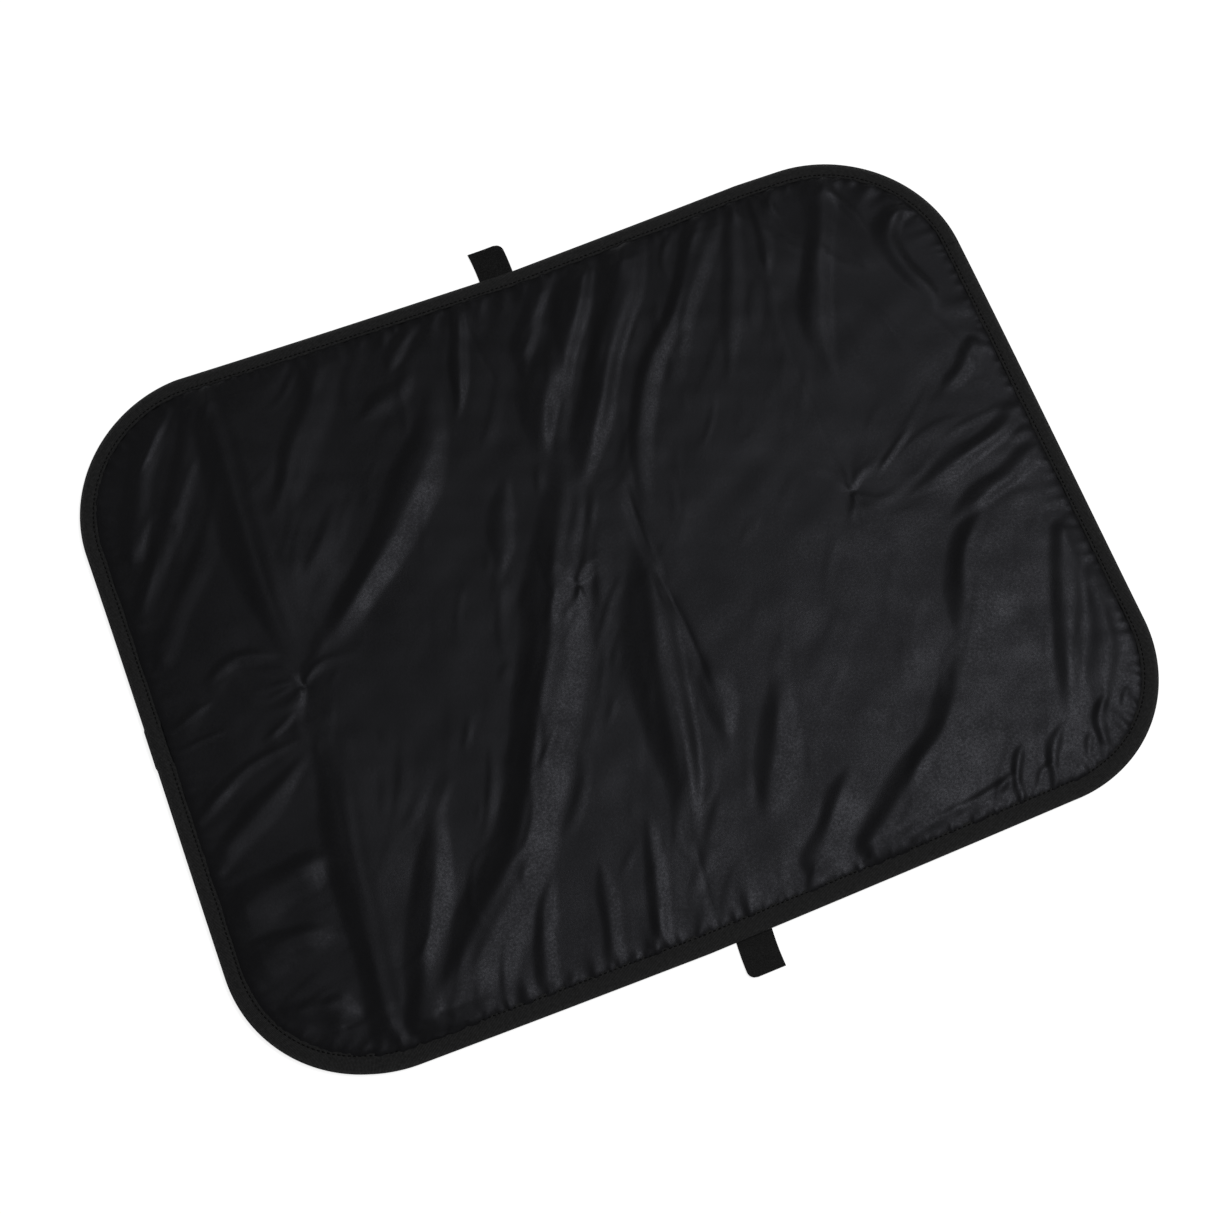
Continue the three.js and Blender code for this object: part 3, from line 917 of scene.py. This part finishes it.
def tab_ground(tab):
    """The tab's woven tape, as vertices and faces."""
    u, v = np.meshgrid(np.linspace(-0.5, 0.5, TAB_CELLS_ACROSS + 1),
                       np.linspace(-tab.root, tab.reach, TAB_CELLS_ALONG + 1))
    in_corner = np.clip((v - (tab.reach - TAB_CORNER)) / TAB_CORNER, 0, 1)
    cut = TAB_CORNER * (1 - np.sqrt(1 - in_corner ** 2))
    across = u * tab.width * np.where(u > 0, 1 - cut / (tab.width / 2), 1)
    x, y, z = tab_underside(tab, u, v, across + 0.5 * MM * np.sin(v / (9 * MM)))
    rows, columns = FULL_TURN * v / TAB_WEAVE, FULL_TURN * u * tab.width / TAB_WEAVE
    weave = 0.05 * MM * np.sin(rows) * np.cos(columns)
    top = np.stack([x, y, z + tab.thickness + weave], axis=-1).reshape(-1, 3)
    bottom = np.stack([x, y, z], axis=-1).reshape(-1, 3)
    row = TAB_CELLS_ACROSS + 1
    corner = (np.arange(TAB_CELLS_ALONG)[:, None] * row + np.arange(TAB_CELLS_ACROSS)).ravel()
    return closed_slab(top, bottom, np.stack([corner, corner + 1, corner + row + 1, corner + row], axis=1))


def fibre_rings(root, turn, size, curl, radius):
    """One fibre of the pile: it rises, leans over and comes down again."""
    angles = np.arange(FIBRE_SIDES) * FULL_TURN / FIBRE_SIDES
    section = np.stack([np.cos(angles) * math.sin(turn + 0.7), np.cos(angles), np.sin(angles)], axis=1)
    rings = []
    for a in np.linspace(0, curl, FIBRE_RINGS):
        forward = size * (1 - math.cos(a)) * 0.6
        lift = size * math.sin(min(a, math.pi)) * 0.9
        centre = root + (forward * math.cos(turn), forward * math.sin(turn), lift)
        rings.append(centre + radius * section)
    return rings


def build_tab(name, kind, material, seed):
    """One tab of tape: its woven ground, and the pile on its free part, which is hooks or loops."""
    tab, pile = measure_tab(name), PILES[kind]
    ground, faces = tab_ground(tab)
    vertices = list(ground)
    draw = np.random.default_rng(seed)
    for i in range(pile.rows):
        for j in range(pile.rows):
            u = (i + 0.5 + draw.uniform(-1, 1) * pile.stray) / pile.rows - 0.5
            v = (j + 0.5 + draw.uniform(-1, 1) * pile.stray) / pile.rows
            if abs(u) > 0.44 or not 0.04 < v < 0.95 or (u > 0.3 and v > 0.85):
                continue
            root = np.array(tab_underside(tab, u, v * tab.reach, u * tab.width)) + (0, 0, tab.thickness)
            turn, size = draw.uniform(0, 1) * pile.turn, draw.uniform(*pile.sizes) * MM
            add_tube(vertices, faces, fibre_rings(root, turn, size, pile.curl, pile.radius))
    piece = make_object(f"{name}_cloth", vertices, faces)
    piece.data.materials.append(material)
    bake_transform(piece)
    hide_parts(name, f"{name}_root")


# ---------------------------------------------------------------- camera, floor and light
LENS_MM, SENSOR_MM = 61.6, 36.0
VIEW_TURN, VIEW_ELEVATION, VIEW_DISTANCE = 21.67, 71.7, 1.408
VIEW_SHIFT = (-0.0049, -0.0135)
KEY_TURN, KEY_ELEVATION, KEY_DISTANCE = 103, 66, 5.0
KEY_SIZE, KEY_WATTS = (2.2, 1.7), 54
FLOOR_HALF = 6.0


def place_aimed(name, data, turn, elevation, distance):
    """Puts a camera or a light where it looks at the mat. turn is degrees, to the right of the camera."""
    obj = bpy.data.objects.new(name, data)
    a, e = math.radians(turn - VIEW_TURN), math.radians(elevation)
    obj.location = (distance * math.cos(e) * math.sin(a), -distance * math.cos(e) * math.cos(a),
                    distance * math.sin(e))
    obj.rotation_euler = (-obj.location).to_track_quat("-Z", "Y").to_euler()
    bpy.context.scene.collection.objects.link(obj)
    return obj


def add_camera():
    camera = bpy.data.cameras.new("camera")
    camera.lens = LENS_MM
    camera.sensor_width = SENSOR_MM
    camera.shift_x, camera.shift_y = VIEW_SHIFT
    bpy.context.scene.camera = place_aimed("camera", camera, 0, VIEW_ELEVATION, VIEW_DISTANCE)


def add_floor():
    corners = [(-1, -1), (1, -1), (1, 1), (-1, 1)]
    floor = make_object("floor", [(FLOOR_HALF * x, FLOOR_HALF * y, 0) for x, y in corners], [(0, 1, 2, 3)])
    floor.location.z = -0.2 * MM
    surface = Surface("pale_floor")
    surface.set_value("Base Color", (0.92, 0.92, 0.92, 1))
    surface.set_value("Roughness", 0.9)
    surface.set_value("Specular IOR Level", 0.0)
    surface.set_value("Emission Color", (1, 1, 1, 1))
    surface.set_value("Emission Strength", 0.8)
    floor.data.materials.append(surface.material)


def add_light():
    """One soft box, near where the camera would see it mirrored in the mat, and a faint white world."""
    light = bpy.data.lights.new("key", "AREA")
    light.shape = "RECTANGLE"
    light.size, light.size_y = KEY_SIZE
    light.energy = KEY_WATTS
    place_aimed("key", light, KEY_TURN, KEY_ELEVATION, KEY_DISTANCE)
    world = bpy.data.worlds.new("studio")
    bpy.context.scene.world = world
    world.use_nodes = True
    background = world.node_tree.nodes["Background"]
    background.inputs["Color"].default_value = (1, 1, 1, 1)
    background.inputs["Strength"].default_value = 0.12


def build():
    add_camera()
    cover = build_cover(cover_material())
    lining = build_lining(lining_material())
    build_wadding(wadding_material())
    build_binding(tape_material())
    build_stitches(thread_and_painted_shade_material())
    build_tab("loop_tab", "loop", tab_material("loop_tape", 0.0060, 0.0520, 0.95), 51)
    build_tab("hook_tab", "hook", tab_material("hook_tape", 0.0050, 0.0460, 0.8), 52)
    add_floor()
    add_light()
    bpy.context.scene.view_settings.view_transform = "Standard"


build()
